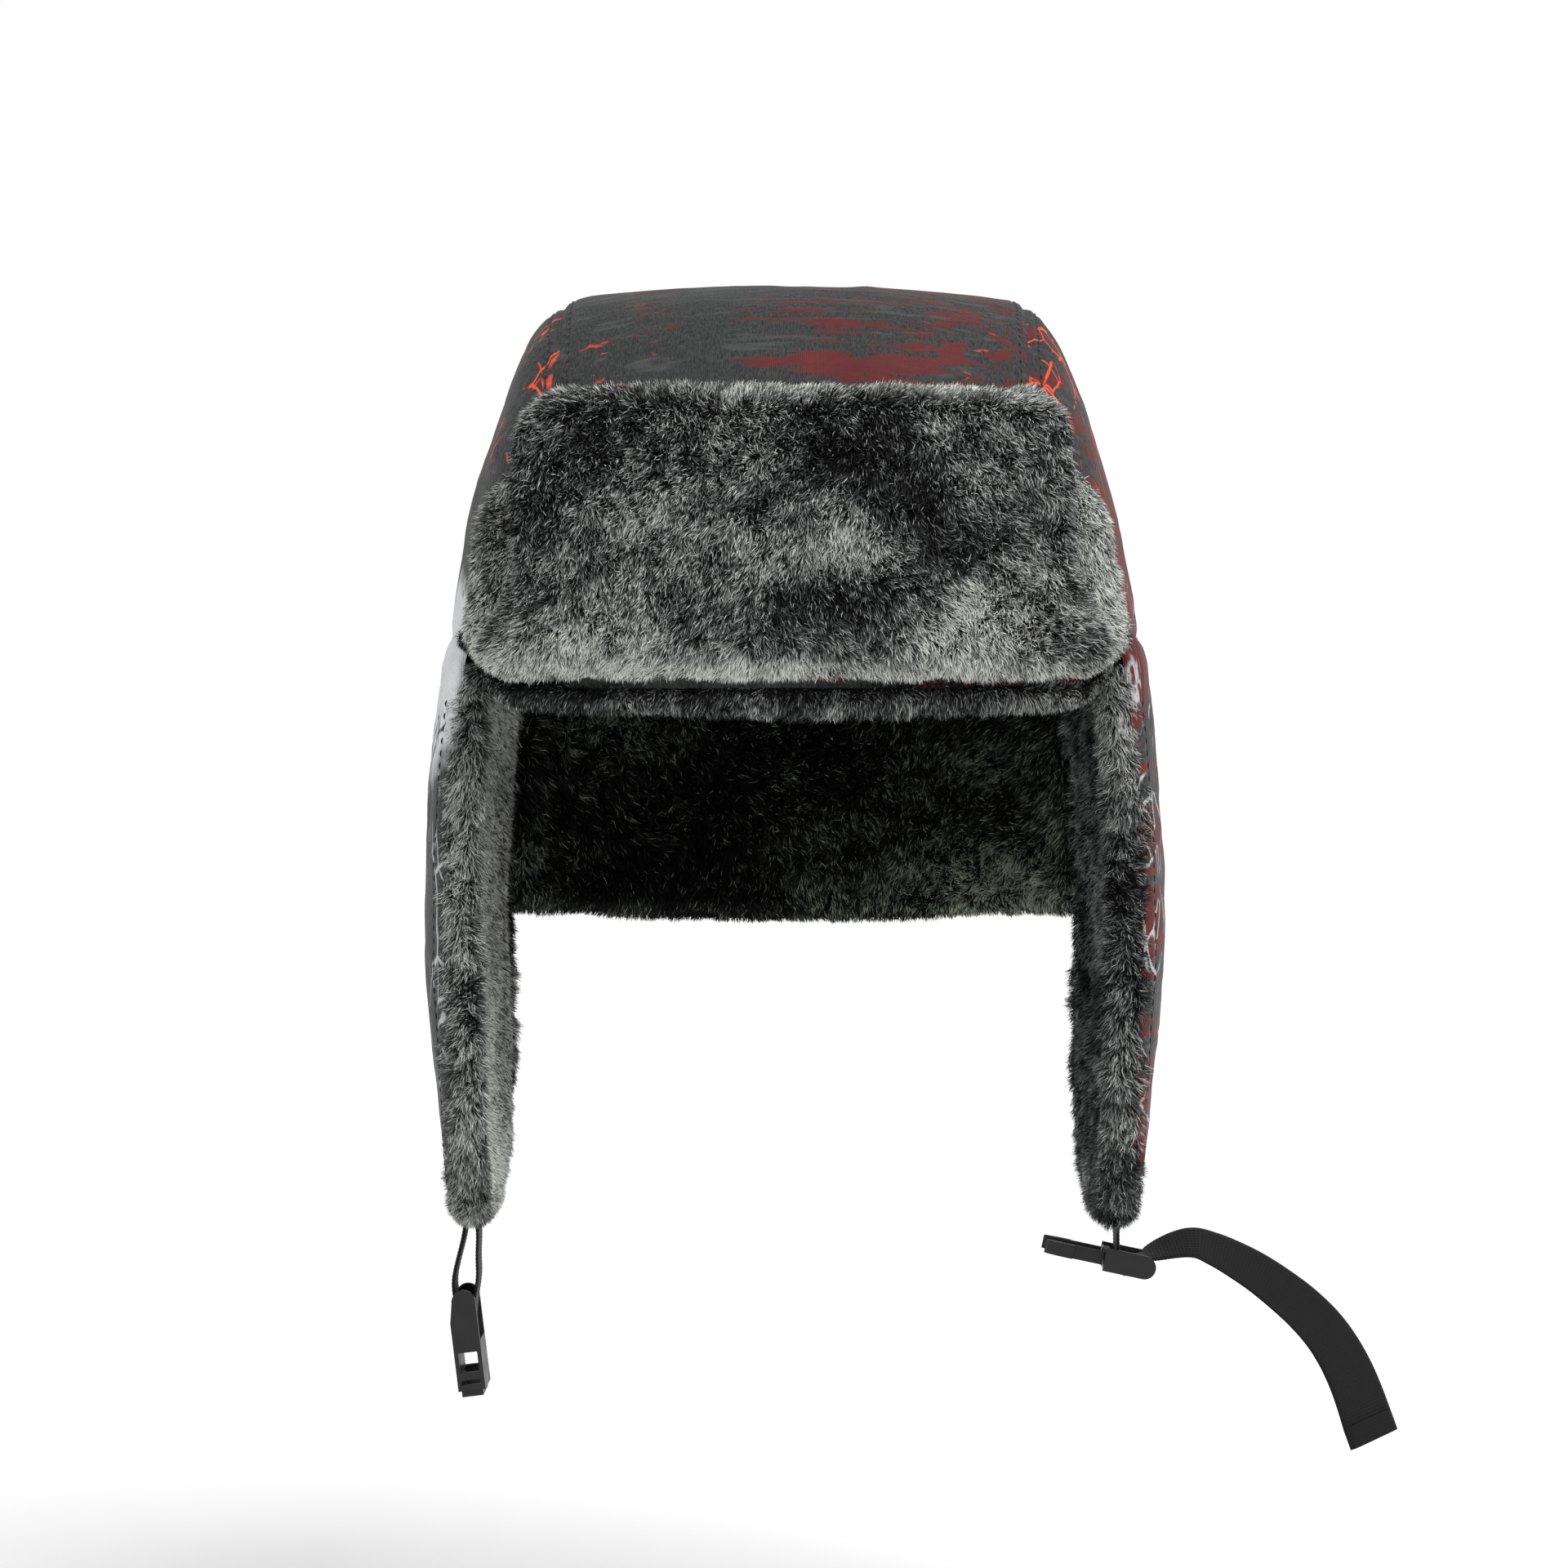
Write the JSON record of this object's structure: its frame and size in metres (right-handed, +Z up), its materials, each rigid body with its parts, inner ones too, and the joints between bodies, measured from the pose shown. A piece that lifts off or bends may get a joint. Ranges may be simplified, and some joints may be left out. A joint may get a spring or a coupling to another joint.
{
  "type": "trapper hat",
  "caption": "Trapper hat with a panelled crown, a folded-up fur front flap, hanging fur-lined ear flaps, a neck flap and a webbing chin strap with a side-release buckle.",
  "frame": {"origin": "centre of the head opening, at brow level", "axes": "+Z up to the top of the crown; the wearer faces -Y; +X is to the right when the hat is seen from the front, so the nodes named left are on the -X side"},
  "size_m": [0.3214, 0.2278, 0.3803],
  "materials": {
    "softshell": "matt softshell with dark red brushed streaks",
    "softshell_side": "matt softshell with red, grey and white scratch marks",
    "wadding": "polyester wadding",
    "quilted_lining": "satin, diamond quilted",
    "sweatband_fabric": "brushed knit",
    "fur": "short-pile faux fur, mottled grey",
    "neck_fur": "short-pile faux fur, near black",
    "thread": "polyester thread",
    "stud_metal": "dark nickel",
    "webbing": "ribbed polyester webbing",
    "buckle_plastic": "moulded acetal, satin"
  },
  "bodies": {
    "crown": {"crown_top_panel": "softshell", "crown_side_panel_left": "softshell_side", "crown_side_panel_right": "softshell_side", "crown_wadding_top": "wadding", "crown_wadding_left": "wadding", "crown_wadding_right": "wadding", "crown_lining_top": "quilted_lining", "crown_lining_left": "quilted_lining", "crown_lining_right": "quilted_lining", "sweatband": "sweatband_fabric", "brow_fur_band": "fur", "top_seam_thread_left": "thread", "top_seam_thread_right": "thread", "crown_press_stud": "stud_metal"},
    "front_flap": {"front_flap_facing": "softshell", "front_flap_wadding": "wadding", "front_flap_fur": "fur", "front_flap_stud_socket": "stud_metal"},
    "ear_flap_left": {"ear_flap_left_shell": "softshell_side", "ear_flap_left_wadding": "wadding", "ear_flap_left_fur": "fur", "strap_anchor_left": "webbing"},
    "ear_flap_right": {"ear_flap_right_shell": "softshell_side", "ear_flap_right_wadding": "wadding", "ear_flap_right_fur": "fur", "strap_anchor_right": "webbing"},
    "neck_flap": {"neck_flap_shell": "softshell", "neck_flap_wadding": "wadding", "neck_flap_fur": "neck_fur"},
    "webbing_loop": {"webbing_loop_left": "webbing"},
    "socket": {"buckle_socket": "buckle_plastic"},
    "webbing_drop": {"webbing_drop_right": "webbing"},
    "plug": {"buckle_plug_frame": "buckle_plastic"},
    "prong_front": {"plug_prong_front": "buckle_plastic"},
    "prong_rear": {"plug_prong_rear": "buckle_plastic"},
    "tail": {"strap_tail": "webbing", "strap_tail_hem": "webbing"}
  },
  "joints": [
    {"name": "front_flap_fold", "type": "hinge", "parent": "crown", "child": "front_flap", "pos_m": [0, -0.1052, 0.0012], "axis": [1, 0, 0], "range_deg": [0, 92]},
    {"name": "ear_flap_left_fold", "type": "hinge", "parent": "crown", "child": "ear_flap_left", "pos_m": [-0.1133, 0, 0.0175], "axis": [0, 1, 0], "range_deg": [0, 165]},
    {"name": "ear_flap_right_fold", "type": "hinge", "parent": "crown", "child": "ear_flap_right", "pos_m": [0.1133, 0, 0.0175], "axis": [0, -1, 0], "range_deg": [0, 165]},
    {"name": "neck_flap_fold", "type": "hinge", "parent": "crown", "child": "neck_flap", "pos_m": [0, 0.1052, 0.0175], "axis": [1, 0, 0], "range_deg": [0, 150]},
    {"name": "loop_swing", "type": "hinge", "parent": "ear_flap_left", "child": "webbing_loop", "pos_m": [-0.1064, -0.004, -0.17], "axis": [0, 1, 0], "range_deg": [-40, 40]},
    {"name": "socket_swing", "type": "hinge", "parent": "webbing_loop", "child": "socket", "pos_m": [-0.1082, -0.004, -0.205], "axis": [0, 1, 0], "range_deg": [-35, 35]},
    {"name": "drop_swing", "type": "hinge", "parent": "ear_flap_right", "child": "webbing_drop", "pos_m": [0.1064, -0.004, -0.17], "axis": [0, 1, 0], "range_deg": [-30, 30]},
    {"name": "plug_swing", "type": "hinge", "parent": "webbing_drop", "child": "plug", "pos_m": [0.10903, -0.004, -0.18827], "axis": [0, 1, 0], "range_deg": [-25, 8]},
    {"name": "prong_front_squeeze", "type": "hinge", "parent": "plug", "child": "prong_front", "pos_m": [0.10099, -0.0122, -0.18523], "axis": [-0.2079, 0, -0.9781], "range_deg": [0, 6], "stiffness_Nm_per_rad": 1.5},
    {"name": "prong_rear_squeeze", "type": "hinge", "parent": "plug", "child": "prong_rear", "pos_m": [0.10099, 0.0042, -0.18523], "axis": [0.2079, 0, 0.9781], "range_deg": [0, 6], "stiffness_Nm_per_rad": 1.5},
    {"name": "tail_swing", "type": "hinge", "parent": "plug", "child": "tail", "pos_m": [0.11546, -0.004, -0.18831], "axis": [0, 1, 0], "range_deg": [-15, 35]}
  ]
}
